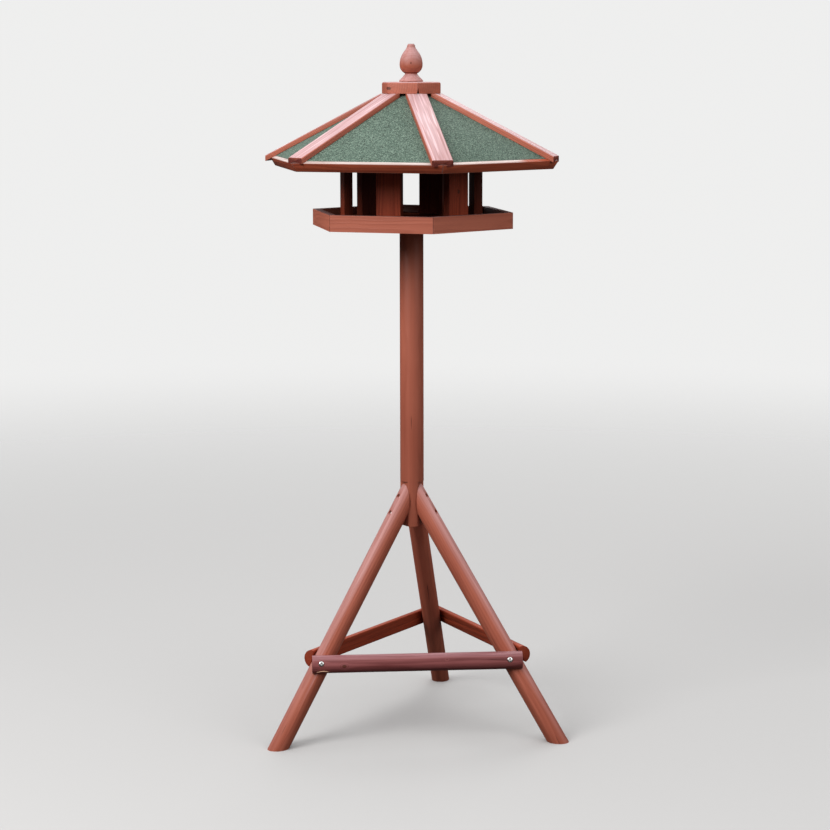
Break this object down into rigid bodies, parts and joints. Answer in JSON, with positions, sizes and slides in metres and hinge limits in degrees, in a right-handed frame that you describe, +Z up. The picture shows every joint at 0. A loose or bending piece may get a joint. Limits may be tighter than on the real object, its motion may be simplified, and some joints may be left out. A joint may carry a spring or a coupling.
{
  "type": "bird feeder on pole",
  "caption": "Covered bird table: an open-sided hexagonal tray under a felted hip roof with a turned finial, on a round wooden pole with splayed, braced tripod legs.",
  "frame": {"origin": "middle of the footprint's bounding box, on the ground under the feet", "axes": "+Z up along the pole; -Y towards the front, where the brace joins the left and the right leg; +X to the right seen from the front"},
  "size_m": [0.639, 0.6678, 1.4501],
  "materials": {
    "stained_pine": "red-brown stained pine, satin",
    "shaded_pine": "red-brown stained pine, weathered darker, matt",
    "dark_pine": "dark purple-brown stained pine, satin",
    "plywood": "stained plywood, matt",
    "roof_felt": "bitumen roofing felt with grey-green mineral granules",
    "zinc": "bright zinc plating"
  },
  "bodies": {
    "root": {"roof_panel_1": "plywood", "roof_panel_2": "plywood", "roof_panel_3": "plywood", "roof_panel_4": "plywood", "roof_panel_5": "plywood", "roof_panel_6": "plywood", "roof_felt_1": "roof_felt", "roof_felt_2": "roof_felt", "roof_felt_3": "roof_felt", "roof_felt_4": "roof_felt", "roof_felt_5": "roof_felt", "roof_felt_6": "roof_felt", "eave_fascia_1": "stained_pine", "eave_fascia_2": "stained_pine", "eave_fascia_3": "stained_pine", "eave_fascia_4": "stained_pine", "eave_fascia_5": "stained_pine", "eave_fascia_6": "stained_pine", "hip_batten_1": "stained_pine", "hip_batten_2": "stained_pine", "hip_batten_3": "stained_pine", "hip_batten_4": "stained_pine", "hip_batten_5": "stained_pine", "hip_batten_6": "stained_pine", "roof_cap": "stained_pine", "finial": "stained_pine", "post_1": "shaded_pine", "post_2": "shaded_pine", "post_3": "shaded_pine", "post_4": "shaded_pine", "post_5": "shaded_pine", "post_6": "shaded_pine", "top_plate": "plywood", "tray_rim_1": "stained_pine", "tray_rim_2": "stained_pine", "tray_rim_3": "stained_pine", "tray_rim_4": "stained_pine", "tray_rim_5": "stained_pine", "tray_rim_6": "stained_pine", "tray_floor": "plywood", "pole_socket": "shaded_pine", "pole": "stained_pine", "leg_left": "stained_pine", "leg_right": "stained_pine", "leg_back": "stained_pine", "leg_screw_left_1": "zinc", "leg_screw_left_2": "zinc", "leg_screw_right_1": "zinc", "leg_screw_right_2": "zinc", "leg_screw_back_1": "zinc", "leg_screw_back_2": "zinc", "brace_front": "dark_pine", "brace_right": "shaded_pine", "brace_left": "shaded_pine", "brace_screw_front_1": "zinc", "brace_screw_front_2": "zinc", "brace_screw_right_1": "zinc", "brace_screw_right_2": "zinc", "brace_screw_left_1": "zinc", "brace_screw_left_2": "zinc"}
  },
  "joints": []
}
